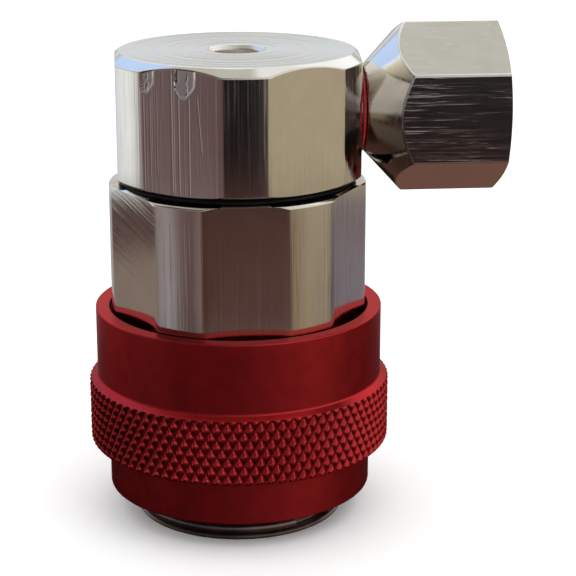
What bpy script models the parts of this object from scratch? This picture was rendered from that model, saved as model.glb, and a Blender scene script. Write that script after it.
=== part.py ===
"""Push-on refrigerant service coupler with a side hose socket.

The coupler stands on its nose. The origin is under the middle of the part, in the plane of the nose's
end face; +Z runs up the coupling axis and +X runs out along the hose socket. A spring-loaded sleeve
slides on the nose and holds six balls inwards, so that they lock under the bead of a 16 mm service
port. Lifting the sleeve lets the balls move outwards into its tapered recess. A sprung valve pin on the
coupling axis opens when the port pushes it up. Dimensions are in millimetres; MM turns them into metres.
"""

import math

import bmesh
import bpy
from mathutils import Matrix, Vector

MM = 0.001

# Facets round the two axes; multiples of 12, so that every wrench flat is centred on a facet
AXIS_STEPS = 48
SOCKET_STEPS = 36
TOUCH_GAP = 0.1  # left between pieces that touch

# Nose and lower hexagon, which are one turned piece
NOSE_R = 12.0
NOSE_LIP_R = 12.2  # below the groove of the retaining ring
BORE_R = 8.2  # takes a 16 mm service port
INNER_R = 9.6  # threaded bore for the seal carrier and the head
LEDGE_Z = 14.0  # where the port bore opens into the threaded bore
BODY_R = 14.75
BODY_FLATS = 28.0
SHOULDER_Z = 23.2  # underside of the hexagon, inside the sleeve
BODY_TOP = 39.62

# Upper head
HEAD_R = 14.55
HEAD_FLATS = 27.4
HEAD_Z0 = 40.45
HEAD_Z1 = 54.6
SPIGOT_R = 9.3
PASSAGE_R = 2.7
CENTRE_HOLE_R = 2.8
CENTRE_HOLE_DEPTH = 2.0

# Hose socket, its radii measured from its own axis
SOCKET_Z = 47.7
SOCKET_FLATS = 17.0
SOCKET_END_X = 30.15
SOCKET_FACE_R = 7.6  # where the end chamfer starts
SOCKET_CHAMFER = 0.2  # rise along X for each millimetre of radius
SOCKET_BORE_R = 6.2  # minor radius of an M14 x 1.5 thread
SOCKET_FLOOR_X = 20.5
NECK_X = 14.3  # small end of the cone
NECK_R = 4.8
STUB_R = 4.45
STUB_END_X = 8.1
FLOW_R = 2.2

# Locking sleeve
SLEEVE_R = 16.65
SLEEVE_BORE_R = 15.05
SLEEVE_TOP = 25.0
KNURL_R = 17.6
KNURL_Z0 = 8.8
KNURL_Z1 = 16.35
SKIRT_R = 15.4
SKIRT_Z = 3.35
LIP_R = 12.4
LIP_Z = 2.0  # the lip rests on the retaining ring
LIP_T = 0.9
LAND_R = 12.15  # the land keeps the balls in
LAND_Z0 = 10.1
LAND_Z1 = 12.5  # ledge that the spring pushes on
RECESS_R = 13.35  # the balls move out into the recess
RECESS_Z = 5.4

BALL_COUNT = 6
BALL_R = 2.5
BALL_Z = 9.4
BALL_AT_R = 9.69  # centre of a locked ball

RING_WIRE_R = 0.6
RING_R = 11.7
RING_Z = 1.3
RING_GAP_FROM = -62.0  # degrees round the coupling axis
RING_GAP_TO = -36.0

SPRING_WIRE_R = 0.55
SPRING_R = 13.3
SPRING_TURNS = 4
WASHER_T = 0.6

# Seal carrier and valve
CARRIER_TOP = 27.0
PORT_SPIGOT_R = 5.0
PORT_SPIGOT_Z = 8.0
SEAT_Z = 18.0
PIN_HOLE_R = 2.0
PIN_R = 1.1
PIN_TIP_Z = 7.0
VALVE_Z0 = SEAT_Z + 0.9
VALVE_Z1 = VALVE_Z0 + 1.6
GUIDE_R = 1.6
GUIDE_TOP = 29.6
RETAINER_T = 1.2
VALVE_WIRE_R = 0.35
VALVE_SPRING_R = 2.7
VALVE_SPRING_TURNS = 5

AXIS_X = (KNURL_R - SOCKET_END_X) / 2  # where the coupling axis stands, so that the origin is central


def clear_scene():
    for obj in list(bpy.data.objects):
        bpy.data.objects.remove(obj, do_unlink=True)


def material(name, colour, metallic, roughness):
    mat = bpy.data.materials.new(name)
    mat.use_nodes = True
    shader = mat.node_tree.nodes["Principled BSDF"]
    shader.inputs["Base Color"].default_value = (*colour, 1.0)
    shader.inputs["Metallic"].default_value = metallic
    shader.inputs["Roughness"].default_value = roughness
    mat.diffuse_color = (*colour, 1.0)
    return mat


def axis_empty(name, location, rotation=(0, 0, 0), parent=None):
    """An empty whose Z axis is the one that its children are turned about."""
    empty = bpy.data.objects.new(name, None)
    empty.location = [c * MM for c in location]
    empty.rotation_euler = rotation
    empty.parent = parent
    bpy.context.scene.collection.objects.link(empty)
    return empty


def spun(points, steps, start=0.0, sweep=360.0):
    """A closed mesh turned about Z from (radius, height) points.

    Points that start and end on the axis make a solid. Others are a closed loop and make a ring.
    """
    bm = bmesh.new()
    turn = Matrix.Rotation(math.radians(start), 3, "Z")
    verts = [bm.verts.new(turn @ Vector((r * MM, 0, z * MM))) for r, z in points]
    on_axis = points[0][0] == 0 and points[-1][0] == 0
    nexts = verts[1:] if on_axis else verts[1:] + verts[:1]
    for pair in zip(verts, nexts):
        bm.edges.new(pair)
    whole = sweep == 360.0
    if not whole:
        bm.faces.new(verts)
    bmesh.ops.spin(
        bm,
        geom=list(bm.verts) + list(bm.edges) + list(bm.faces),
        cent=(0, 0, 0),
        axis=(0, 0, 1),
        angle=math.radians(sweep),
        steps=steps,
        use_merge=whole,
    )
    bmesh.ops.remove_doubles(bm, verts=bm.verts, dist=1e-7)
    bmesh.ops.recalc_face_normals(bm, faces=bm.faces)
    return bm


def hexagon(flats, low, high, first_flat):
    """A hexagonal prism along Z, its first flat facing first_flat degrees round it."""
    bm = bmesh.new()
    corner = flats / math.sqrt(3) * MM
    ring = []
    for k in range(6):
        a = math.radians(first_flat + 30 + 60 * k)
        ring.append(bm.verts.new((corner * math.cos(a), corner * math.sin(a), low * MM)))
    base = bm.faces.new(ring)
    grown = bmesh.ops.extrude_face_region(bm, geom=[base])
    tops = [v for v in grown["geom"] if isinstance(v, bmesh.types.BMVert)]
    bmesh.ops.translate(bm, vec=(0, 0, (high - low) * MM), verts=tops)
    bmesh.ops.recalc_face_normals(bm, faces=bm.faces)
    return bm


def placed(name, bm, mat, parent, location=(0, 0, 0), rotation=(0, 0, 0)):
    """Makes the object on its parent axis, with its round faces shaded smooth."""
    mesh = bpy.data.meshes.new(name)
    bm.to_mesh(mesh)
    bm.free()
    mesh.shade_smooth()
    mesh.set_sharp_from_angle(angle=math.radians(32))
    if mat:
        mesh.materials.append(mat)
    obj = bpy.data.objects.new(name, mesh)
    obj.location = [c * MM for c in location]
    obj.rotation_euler = rotation
    obj.parent = parent
    bpy.context.scene.collection.objects.link(obj)
    return obj


def boolean(obj, operation, cutter):
    """Applies a cutter, which is kept out of the build."""
    cutter.hide_render = True
    cutter.display_type = "WIRE"
    mod = obj.modifiers.new(cutter.name, "BOOLEAN")
    mod.operation = operation
    mod.solver = "EXACT"
    mod.object = cutter


def oval(radius, height, half_width, half_height, sides=8):
    """(radius, height) points of a round or oval cross-section."""
    angles = [2 * math.pi * k / sides for k in range(sides)]
    return [(radius + half_width * math.cos(a), height + half_height * math.sin(a)) for a in angles]


def coil(name, radius, wire_r, low, high, turns, per_turn, mat, parent):
    """A compression spring with closed ends, its wire lying between the heights low and high."""
    curve = bpy.data.curves.new(name, "CURVE")
    curve.dimensions = "3D"
    curve.bevel_depth = wire_r * MM
    curve.bevel_resolution = 1
    curve.use_fill_caps = True
    curve.materials.append(mat)
    count = turns * per_turn
    rise = high - low - 2 * wire_r
    closed = 2.1 * wire_r  # rise over each closed end turn
    spline = curve.splines.new("POLY")
    spline.points.add(count)
    for k, point in enumerate(spline.points):
        turn = k / per_turn
        if turn < 1:
            up = closed * turn
        elif turn > turns - 1:
            up = rise - closed * (turns - turn)
        else:
            up = closed + (rise - 2 * closed) * (turn - 1) / (turns - 2)
        angle = 2 * math.pi * turn
        z = low + wire_r + up
        point.co = (radius * math.cos(angle) * MM, radius * math.sin(angle) * MM, z * MM, 1)
    obj = bpy.data.objects.new(name, curve)
    obj.parent = parent
    bpy.context.scene.collection.objects.link(obj)


def ball_angle(k):
    return math.radians(360 / BALL_COUNT * (k + 0.5))


def ball_pocket(k, axis):
    """A radial hole with a tapered inner mouth, which stops its ball from dropping into the bore."""
    sides = 16
    grow = 1 / math.cos(math.pi / sides)
    mouth = (BALL_R - 0.22) * grow
    hole = (BALL_R + 0.12) * grow
    outline = [(0, 7.2), (mouth, 7.2), (mouth, 8.5), (hole, 9.4), (hole, 13), (0, 13)]
    name = f"ball_pocket_{k + 1}"
    turned = (0, math.pi / 2, ball_angle(k))
    return placed(name, spun(outline, sides), None, axis, (0, 0, BALL_Z), turned)


def coupler_body(nickel, axis):
    """The nose, the ball pockets and the lower hexagon, turned from one bar."""
    groove_r = RING_R - RING_WIRE_R - TOUCH_GAP
    groove_low = RING_Z - RING_WIRE_R - TOUCH_GAP / 2
    groove_high = RING_Z + RING_WIRE_R + TOUCH_GAP / 2
    outline = [
        (BORE_R + 0.7, 0),
        (NOSE_LIP_R - 0.1, 0),
        (NOSE_LIP_R, 0.1),
        (NOSE_LIP_R, groove_low),
        (groove_r, groove_low),
        (groove_r, groove_high),
        (NOSE_R, groove_high),
        (NOSE_R, SHOULDER_Z),
        (BODY_R - 0.3, SHOULDER_Z),
        (BODY_R, SHOULDER_Z + 0.3),
        (BODY_R, BODY_TOP - 0.22),
        (BODY_R - 0.22, BODY_TOP),
        (INNER_R + 0.6, BODY_TOP),
        (INNER_R, BODY_TOP - 0.6),
        (INNER_R, LEDGE_Z),
        (BORE_R, LEDGE_Z),
        (BORE_R, 0.7),
    ]
    body = placed("coupler_body", spun(outline, AXIS_STEPS), nickel, axis)
    flats = placed("body_flats", hexagon(BODY_FLATS, -1, BODY_TOP + 1, 30), None, axis)
    boolean(body, "INTERSECT", flats)
    for k in range(BALL_COUNT):
        boolean(body, "DIFFERENCE", ball_pocket(k, axis))


def upper_head(nickel, axis, socket_axis):
    """The chamfered upper hexagon: blind centre hole above, threaded spigot and gas passage below."""
    spigot_z = CARRIER_TOP + RETAINER_T + 3 * TOUCH_GAP
    hole_floor = HEAD_Z1 - CENTRE_HOLE_DEPTH
    outline = [
        (0, SOCKET_Z + FLOW_R + 0.6),
        (PASSAGE_R, SOCKET_Z + FLOW_R),
        (PASSAGE_R, spigot_z + 1.5),
        (5.0, spigot_z + 1.5),
        (5.0, spigot_z),
        (SPIGOT_R - 0.3, spigot_z),
        (SPIGOT_R, spigot_z + 0.3),
        (SPIGOT_R, HEAD_Z0),
        (HEAD_R - 0.85, HEAD_Z0),
        (HEAD_R, HEAD_Z0 + 0.3),
        (HEAD_R, HEAD_Z1 - 0.9),
        (HEAD_R - 1.2, HEAD_Z1),
        (CENTRE_HOLE_R + 0.45, HEAD_Z1),
        (CENTRE_HOLE_R, HEAD_Z1 - 0.45),
        (CENTRE_HOLE_R, hole_floor),
        (0, hole_floor - 0.8),
    ]
    head = placed("upper_head", spun(outline, AXIS_STEPS), nickel, axis)
    flats = placed("head_flats", hexagon(HEAD_FLATS, 20, HEAD_Z1 + 1, 0), None, axis)
    boolean(head, "INTERSECT", flats)
    stub_hole = STUB_R + 0.15
    side = [(0, 0.6), (FLOW_R, 0.6), (FLOW_R, 7.9), (stub_hole, 7.9), (stub_hole, 16), (0, 16)]
    boolean(head, "DIFFERENCE", placed("side_bore", spun(side, SOCKET_STEPS), None, socket_axis))


def head_o_ring(rubber, axis):
    squashed = (HEAD_Z0 - BODY_TOP) / 2 - 0.02
    section = oval(12.2, (BODY_TOP + HEAD_Z0) / 2, 1.4, squashed)
    placed("head_o_ring", spun(section, AXIS_STEPS), rubber, axis)


def hose_socket(nickel, axis):
    """The hexagonal female hose socket, its conical back and the threaded stub that enters the head."""
    corner_r = SOCKET_FLATS / math.sqrt(3) + 0.3  # just outside the hexagon's corners
    outline = [
        (FLOW_R, STUB_END_X),
        (STUB_R - 0.3, STUB_END_X),
        (STUB_R, STUB_END_X + 0.3),
        (STUB_R, NECK_X),
        (NECK_R, NECK_X),
        (corner_r, NECK_X + 0.92 * (corner_r - NECK_R)),
        (corner_r, SOCKET_END_X - SOCKET_CHAMFER * (corner_r - SOCKET_FACE_R)),
        (SOCKET_FACE_R, SOCKET_END_X),
        (SOCKET_BORE_R + 0.9, SOCKET_END_X),
        (SOCKET_BORE_R, SOCKET_END_X - 0.9),
        (SOCKET_BORE_R, SOCKET_FLOOR_X),
        (FLOW_R, SOCKET_FLOOR_X),
    ]
    socket = placed("hose_socket", spun(outline, SOCKET_STEPS), nickel, axis)
    flats = placed("socket_flats", hexagon(SOCKET_FLATS, 0, SOCKET_END_X + 1, 30), None, axis)
    boolean(socket, "INTERSECT", flats)


def socket_gasket(white, axis):
    low = SOCKET_FLOOR_X + TOUCH_GAP
    outline = [(2.6, low), (5.9, low), (5.9, low + 1.2), (2.6, low + 1.2)]
    placed("socket_gasket", spun(outline, SOCKET_STEPS), white, axis)


def thread_sealant(red, axis):
    """The bead of sealant squeezed out where the stub enters the head."""
    section = oval(STUB_R + 0.42, (HEAD_FLATS / 2 + NECK_X) / 2, 0.34, 0.27)
    placed("thread_sealant", spun(section, SOCKET_STEPS), red, axis)


def locking_sleeve(red, axis):
    """Outside, from the bottom: lip, skirt, grip band and rim. Inside: spring ledge, land and recess."""
    outline = [
        (LAND_R, LIP_Z),
        (LIP_R, LIP_Z),
        (LIP_R, SKIRT_Z),
        (SKIRT_R - 0.3, SKIRT_Z),
        (SKIRT_R, SKIRT_Z + 0.3),
        (SKIRT_R, KNURL_Z0),
        (KNURL_R - 0.4, KNURL_Z0),
        (KNURL_R, KNURL_Z0 + 0.4),
        (KNURL_R, KNURL_Z1 - 0.15),
        (KNURL_R - 0.2, KNURL_Z1 + 0.05),
        (SLEEVE_R, KNURL_Z1 + 0.5),
        (SLEEVE_R, SLEEVE_TOP - 0.2),
        (SLEEVE_R - 0.2, SLEEVE_TOP),
        (SLEEVE_BORE_R + 0.15, SLEEVE_TOP),
        (SLEEVE_BORE_R, SLEEVE_TOP - 0.15),
        (SLEEVE_BORE_R, LAND_Z1),
        (LAND_R, LAND_Z1),
        (LAND_R, LAND_Z0),
        (RECESS_R, RECESS_Z),
        (RECESS_R, LIP_Z + LIP_T),
        (LAND_R, LIP_Z + LIP_T),
    ]
    placed("locking_sleeve", spun(outline, AXIS_STEPS), red, axis)


def locking_balls(steel, axis):
    for k in range(BALL_COUNT):
        bm = bmesh.new()
        bmesh.ops.create_uvsphere(bm, u_segments=16, v_segments=8, radius=BALL_R * MM)
        angle = ball_angle(k)
        centre = (BALL_AT_R * math.cos(angle), BALL_AT_R * math.sin(angle), BALL_Z)
        placed(f"locking_ball_{k + 1}", bm, steel, axis, centre, (0, 0, angle))


def retaining_ring(dark_steel, axis):
    """The open wire ring in the nose's groove, which the sleeve's lip rests on."""
    section = oval(RING_R, RING_Z, RING_WIRE_R, RING_WIRE_R)
    sweep = 360 - (RING_GAP_TO - RING_GAP_FROM)
    placed("retaining_ring", spun(section, AXIS_STEPS, RING_GAP_TO, sweep), dark_steel, axis)


def spring_washer(steel, axis):
    high = SHOULDER_Z - TOUCH_GAP
    low = high - WASHER_T
    inner = NOSE_R + 0.15
    outer = SLEEVE_BORE_R - 0.35
    outline = [(inner, low), (outer, low), (outer, high), (inner, high)]
    placed("spring_washer", spun(outline, AXIS_STEPS), steel, axis)


def sleeve_spring(steel, axis):
    low = LAND_Z1 + TOUCH_GAP
    high = SHOULDER_Z - WASHER_T - 2 * TOUCH_GAP
    coil("sleeve_spring", SPRING_R, SPRING_WIRE_R, low, high, SPRING_TURNS, 16, steel, axis)


def seal_carrier(brass, axis):
    """The insert that carries the port seal, guides the valve pin and forms its seat."""
    outer = INNER_R - 0.2
    low = LEDGE_Z + TOUCH_GAP
    outline = [
        (PIN_HOLE_R, PORT_SPIGOT_Z),
        (PORT_SPIGOT_R - 0.4, PORT_SPIGOT_Z),
        (PORT_SPIGOT_R, PORT_SPIGOT_Z + 0.4),
        (PORT_SPIGOT_R, 9.4),
        (3.8, 9.4),
        (3.8, 11.3),
        (PORT_SPIGOT_R, 11.3),
        (PORT_SPIGOT_R, low),
        (outer, low),
        (outer, 15.2),
        (8.1, 15.2),
        (8.1, 17.0),
        (outer, 17.0),
        (outer, CARRIER_TOP),
        (7.0, CARRIER_TOP),
        (7.0, SEAT_Z),
        (PIN_HOLE_R + 0.6, SEAT_Z),
        (PIN_HOLE_R, SEAT_Z - 0.6),
    ]
    placed("seal_carrier", spun(outline, SOCKET_STEPS), brass, axis)


def carrier_seals(rubber, axis):
    """The ring that seals on the port, and the one that seals the carrier in the nose."""
    placed("port_o_ring", spun(oval(4.7, 10.35, 0.8, 0.8), SOCKET_STEPS), rubber, axis)
    placed("carrier_o_ring", spun(oval(8.8, 16.1, 0.6, 0.75), SOCKET_STEPS), rubber, axis)


def valve_pin(brass, axis):
    """From the bottom: the tip that the port pushes, the valve disc and the guide inside the spring."""
    outline = [
        (0, PIN_TIP_Z),
        (PIN_R - 0.3, PIN_TIP_Z),
        (PIN_R, PIN_TIP_Z + 0.3),
        (PIN_R, VALVE_Z0),
        (3.7, VALVE_Z0),
        (3.7, VALVE_Z1),
        (GUIDE_R, VALVE_Z1),
        (GUIDE_R, GUIDE_TOP - 0.3),
        (GUIDE_R - 0.3, GUIDE_TOP),
        (0, GUIDE_TOP),
    ]
    placed("valve_pin", spun(outline, 24), brass, axis)


def valve_seal(rubber, axis):
    inner = PIN_R + TOUCH_GAP
    low = SEAT_Z + TOUCH_GAP / 2
    high = VALVE_Z0 - TOUCH_GAP
    outline = [(inner, low), (3.5, low), (3.5, high), (inner, high)]
    placed("valve_seal", spun(outline, 24), rubber, axis)


def valve_spring(steel, axis):
    low = VALVE_Z1 + TOUCH_GAP
    coil("valve_spring", VALVE_SPRING_R, VALVE_WIRE_R, low, CARRIER_TOP, VALVE_SPRING_TURNS, 12, steel, axis)


def spring_retainer(brass, axis):
    """The drilled disc above the valve spring, clamped between the carrier and the head."""
    low = CARRIER_TOP + TOUCH_GAP
    high = low + RETAINER_T
    inner = GUIDE_R + 0.3
    outer = INNER_R - 0.4
    outline = [(inner, low), (outer, low), (outer, high), (inner, high)]
    disc = placed("spring_retainer", spun(outline, SOCKET_STEPS), brass, axis)
    hole = [(0, low - 1), (0.8, low - 1), (0.8, high + 1), (0, high + 1)]
    for k in range(4):
        angle = math.radians(90 * k + 45)
        at = (3.9 * math.cos(angle), 3.9 * math.sin(angle), 0)
        boolean(disc, "DIFFERENCE", placed(f"flow_hole_{k + 1}", spun(hole, 12), None, axis, at))


def build():
    clear_scene()
    nickel = material("nickel plate", (0.70, 0.67, 0.61), 1.0, 0.15)
    steel = material("spring steel", (0.56, 0.55, 0.54), 1.0, 0.25)
    dark_steel = material("dark spring steel", (0.16, 0.14, 0.13), 1.0, 0.3)
    brass = material("brass", (0.75, 0.58, 0.28), 1.0, 0.3)
    red = material("red anodised aluminium", (0.38, 0.01, 0.015), 0.9, 0.35)
    rubber = material("black rubber", (0.02, 0.02, 0.02), 0.0, 0.6)
    white = material("white seal plastic", (0.85, 0.85, 0.82), 0.0, 0.5)
    sealant = material("red sealant", (0.45, 0.02, 0.03), 0.0, 0.3)

    axis = axis_empty("coupling_axis", (AXIS_X, 0, 0))
    socket_axis = axis_empty("socket_axis", (0, 0, SOCKET_Z), (0, math.pi / 2, 0), axis)

    coupler_body(nickel, axis)
    upper_head(nickel, axis, socket_axis)
    head_o_ring(rubber, axis)
    hose_socket(nickel, socket_axis)
    thread_sealant(sealant, socket_axis)
    socket_gasket(white, socket_axis)

    locking_sleeve(red, axis)
    locking_balls(steel, axis)
    retaining_ring(dark_steel, axis)
    spring_washer(steel, axis)
    sleeve_spring(steel, axis)

    seal_carrier(brass, axis)
    carrier_seals(rubber, axis)
    valve_pin(brass, axis)
    valve_seal(rubber, axis)
    valve_spring(steel, axis)
    spring_retainer(brass, axis)


build()
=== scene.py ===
"""Looks of the refrigerant service coupler.

Every piece is turned about one of two axes. The coupling axis stands upright through the nose, the
sleeve and the head; the socket axis runs out of the head's side along +X. Pieces are described by their
outline, (radius, height along the axis) in millimetres, and by a surface finish for each stretch of it.
"""

import math

import bmesh
import bpy
import numpy as np
from mathutils import Matrix, Vector


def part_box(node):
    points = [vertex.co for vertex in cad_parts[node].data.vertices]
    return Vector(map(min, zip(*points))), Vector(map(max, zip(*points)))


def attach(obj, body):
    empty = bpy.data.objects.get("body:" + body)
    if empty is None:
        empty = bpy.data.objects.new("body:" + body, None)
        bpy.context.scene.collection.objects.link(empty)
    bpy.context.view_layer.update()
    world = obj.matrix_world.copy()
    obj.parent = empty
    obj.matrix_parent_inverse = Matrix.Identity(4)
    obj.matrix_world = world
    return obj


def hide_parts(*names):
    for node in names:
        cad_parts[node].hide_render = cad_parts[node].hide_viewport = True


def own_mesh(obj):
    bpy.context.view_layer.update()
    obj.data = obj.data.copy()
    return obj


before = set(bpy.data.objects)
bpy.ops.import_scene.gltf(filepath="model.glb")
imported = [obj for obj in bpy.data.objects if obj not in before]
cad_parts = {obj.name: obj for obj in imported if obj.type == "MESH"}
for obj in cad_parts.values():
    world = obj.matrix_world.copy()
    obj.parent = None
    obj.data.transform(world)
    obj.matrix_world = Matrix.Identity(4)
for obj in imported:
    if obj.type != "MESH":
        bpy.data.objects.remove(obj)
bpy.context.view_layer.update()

MM = 0.001

SLEEVE_LOW, SLEEVE_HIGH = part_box("locking_sleeve")
HEAD_LOW, HEAD_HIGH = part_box("upper_head")
BODY_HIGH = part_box("coupler_body")[1]
SOCKET_LOW, SOCKET_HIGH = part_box("hose_socket")
SPRING_LOW, SPRING_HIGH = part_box("sleeve_spring")
VALVE_SPRING_LOW, VALVE_SPRING_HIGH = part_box("valve_spring")

AXIS_X = (SLEEVE_LOW[0] + SLEEVE_HIGH[0]) / 2
SOCKET_Z = (SOCKET_LOW[2] + SOCKET_HIGH[2]) / 2
COUPLING_AXIS = Matrix.Translation((AXIS_X, 0, 0))
SOCKET_AXIS = Matrix.Translation((AXIS_X, 0, SOCKET_Z)) @ Matrix.Rotation(math.pi / 2, 4, "Y")

# Body
NOSE_R = 12.0
NOSE_LIP_R = 12.2
BORE_R = 8.2
INNER_R = 9.6
LEDGE_Z = 14.0
BODY_R = 14.75
BODY_FLATS = 28.0
SLANTED_FLAT = -150  # the flat that faces this way carries slanted marks
SHOULDER_Z = 23.2
BODY_TOP = BODY_HIGH[2] / MM
BODY_CHAMFER = 0.22
BORE_CHAMFER = 0.7
RING_R = 11.7
RING_Z = 1.3
RING_WIRE_R = 0.6
RING_GAP_FROM = -62.0
RING_GAP_TO = -36.0
BALL_COUNT = 6
BALL_R = 2.5
BALL_Z = 9.4
BALL_AT_R = 9.69
# A ball's pocket narrows towards the bore, so that the ball cannot fall in
POCKET_START_R = 7.2
POCKET_MOUTH_R = 8.5
POCKET_FULL_R = 9.4
POCKET_END_R = 13

# Head
HEAD_R = 14.55
HEAD_FLATS = 27.4
HEAD_Z0 = 40.45
HEAD_Z1 = HEAD_HIGH[2] / MM
SPIGOT_R = 9.3
SPIGOT_Z = HEAD_LOW[2] / MM
PASSAGE_R = 2.7
CENTRE_HOLE_R = 2.8
CENTRE_HOLE_CHAMFER = 0.45
CENTRE_HOLE_DEPTH = 2.0
DRILL_POINT = 0.8
SEAL_R = 12.2
SEAL_HALF_WIDTH = 1.4
COUNTERBORE_R = 5.0
COUNTERBORE_DEPTH = 1.5
HEAD_FOOT_IN = 0.85  # the chamfer at the head's foot, inward and upward
HEAD_FOOT_UP = 0.3
HEAD_CHAMFER_IN = 1.2
HEAD_CHAMFER_DOWN = 0.9

# Hose socket
SOCKET_FLATS = 17.0
SOCKET_END_X = SOCKET_HIGH[0] / MM - AXIS_X / MM
SOCKET_FACE_R = 7.6
SOCKET_CHAMFER = 0.2
THREAD_MINOR_R = 6.2
THREAD_DEPTH = 0.72
THREAD_PITCH = 1.5
SOCKET_FLOOR_X = 20.5
NECK_X = 14.3
NECK_R = 4.8
STUB_R = 4.45
BEAD_R = STUB_R + 0.28
STUB_HOLE_R = STUB_R + 0.15
STUB_SEAT_X = 7.9
STUB_END_X = 8.1
FLOW_R = 2.2

# Sleeve
SLEEVE_R = 16.65
SLEEVE_BORE_R = 15.05
SLEEVE_TOP = SLEEVE_HIGH[2] / MM
KNURL_R = 17.6
KNURL_Z0 = 8.8
KNURL_Z1 = 16.35
KNURL_AROUND = 88
KNURL_PITCH_Z = 2.03
KNURL_DEPTH = 0.36
KNURL_CHAMFER = 0.35
KNURL_CREST = 0.85  # how far up a diamond its flat top starts
KNURL_LEAN = 1.5  # how much steeper one pair of a diamond's sides is than the other
SKIRT_R = 15.4
SKIRT_Z = 3.35
LIP_R = 12.4
LIP_Z = SLEEVE_LOW[2] / MM
LIP_T = 0.9
LAND_R = 12.15
LAND_Z0 = 10.1
LAND_Z1 = 12.5
RECESS_R = 13.35
RECESS_Z = 5.4

# Springs
SLEEVE_SPRING_R = 13.3
SLEEVE_SPRING_WIRE_R = 0.55
SLEEVE_SPRING_TURNS = 4
VALVE_SPRING_R = 2.7
VALVE_SPRING_WIRE_R = 0.35
VALVE_SPRING_TURNS = 5

EDGE = 0.12  # usual rounding of a turned edge
AT_AXIS = 0.05  # a turned outline stops just short of the axis

NICKEL = (0.74, 0.70, 0.64)
NICKEL_STAINED = (0.70, 0.66, 0.60)
DARKEST_PAINTED_SHADE = 0.42  # how bright the nickel is where its painted shade is darkest, next to bright nickel


# ---------------------------------------------------------------- outlines and meshes


def eased(points, radius=EDGE, segments=3, closed=True):
    """Rounds an outline's corners, and adds a point close to each rounding to keep flats flat.

    A point is (radius, height) or (radius, height, finish): the finish holds from there to the next
    point. A finish left out is 0.
    """
    points = [p if len(p) == 3 else (*p, 0) for p in points]
    out = []
    count = len(points)
    for k, (r, z, finish) in enumerate(points):
        if not closed and k in (0, count - 1):
            out.append((r, z, finish))
            continue
        before = Vector(points[k - 1][:2])
        after = Vector(points[(k + 1) % count][:2])
        here = Vector((r, z))
        into = before - here
        away = after - here
        reach = min(radius, 0.3 * into.length, 0.3 * away.length)
        guard = 0.35 * reach
        into.normalize()
        away.normalize()
        previous = points[k - 1][2]
        out.append((*(here + into * (reach + guard)), previous))
        for s in range(segments + 1):
            t = s / segments
            first = (here + into * reach).lerp(here, t)
            second = here.lerp(here + away * reach, t)
            out.append((*first.lerp(second, t), finish if s == segments else previous))
        out.append((*(here + away * (reach + guard)), finish))
    return out


def filled(points, from_index, step):
    """Adds points every step millimetres along the stretch that starts at from_index."""
    r0, z0, finish = points[from_index]
    r1, z1, _ = points[from_index + 1]
    count = max(1, round(math.hypot(r1 - r0, z1 - z0) / step))
    extra = [(r0 + (r1 - r0) * k / count, z0 + (z1 - z0) * k / count, finish) for k in range(1, count)]
    return points[: from_index + 1] + extra + points[from_index + 1 :]


def refined(points, step_for):
    """Adds points to each stretch for which step_for(its start, its end) gives a step in millimetres."""
    for k in range(len(points) - 2, -1, -1):
        step = step_for(points[k], points[k + 1])
        if step:
            points = filled(points, k, step)
    return points


def soft_min(a, b, width):
    """The smaller of two lengths, with the corner between them rounded over width."""
    mix = np.clip(0.5 + 0.5 * (b - a) / width, 0, 1)
    return b * (1 - mix) + a * mix - width * mix * (1 - mix)


def hexagonal(radius, angle, across, first_flat, width=0.12):
    """Cuts a turned radius down to a hexagon's flats, the first facing first_flat degrees."""
    turn = (angle - math.radians(first_flat) + math.pi / 6) % (math.pi / 3) - math.pi / 6
    near = across / 2 / np.cos(turn)
    far = across / 2 / np.cos(math.pi / 3 - np.abs(turn))
    return soft_min(soft_min(radius, near, width), far, width)


def turned(name, outline, steps, axis, shape=None, closed=True):
    """A closed mesh turned from an outline; shape(radius, angle, height) may change each radius.

    steps is a number of equal steps round, or the list of angles in degrees.
    """
    if isinstance(steps, int):
        angle = np.arange(steps) * (2 * math.pi / steps)
    else:
        angle = np.radians(steps)
        steps = len(steps)
    radii = np.array([p[0] for p in outline])[:, None]
    heights = np.array([p[1] for p in outline])[:, None]
    grid_angle = np.broadcast_to(angle[None, :], (len(outline), steps))
    grid_height = np.broadcast_to(heights, (len(outline), steps))
    grid = np.broadcast_to(radii, (len(outline), steps)).copy()
    if shape:
        grid = shape(grid, grid_angle, grid_height)
    flat = np.stack([grid * np.cos(grid_angle), grid * np.sin(grid_angle), grid_height], axis=-1)
    verts = flat.reshape(-1, 3) * MM
    rows = len(outline)
    faces = []
    finishes = []
    for k in range(rows if closed else rows - 1):
        low = k * steps
        high = ((k + 1) % rows) * steps
        for s in range(steps):
            t = (s + 1) % steps
            faces.append((low + s, low + t, high + t, high + s))
        finishes.extend([outline[k][2]] * steps)
    if not closed:
        faces.append(tuple(range(steps - 1, -1, -1)))
        faces.append(tuple((rows - 1) * steps + s for s in range(steps)))
        finishes.extend([outline[0][2], outline[-1][2]])
    mesh = bpy.data.meshes.new(name)
    mesh.from_pydata(verts.tolist(), [], faces)
    mesh.polygons.foreach_set("material_index", finishes)
    mesh.transform(axis)
    return finished(name, mesh)


def finished(name, mesh, sharp=38):
    """Puts a mesh in the scene with outward faces and smooth shading."""
    bm = bmesh.new()
    bm.from_mesh(mesh)
    bmesh.ops.recalc_face_normals(bm, faces=bm.faces)
    bm.to_mesh(mesh)
    bm.free()
    mesh.shade_smooth()
    mesh.set_sharp_from_angle(angle=math.radians(sharp))
    obj = bpy.data.objects.new(name, mesh)
    bpy.context.scene.collection.objects.link(obj)
    return obj


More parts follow.
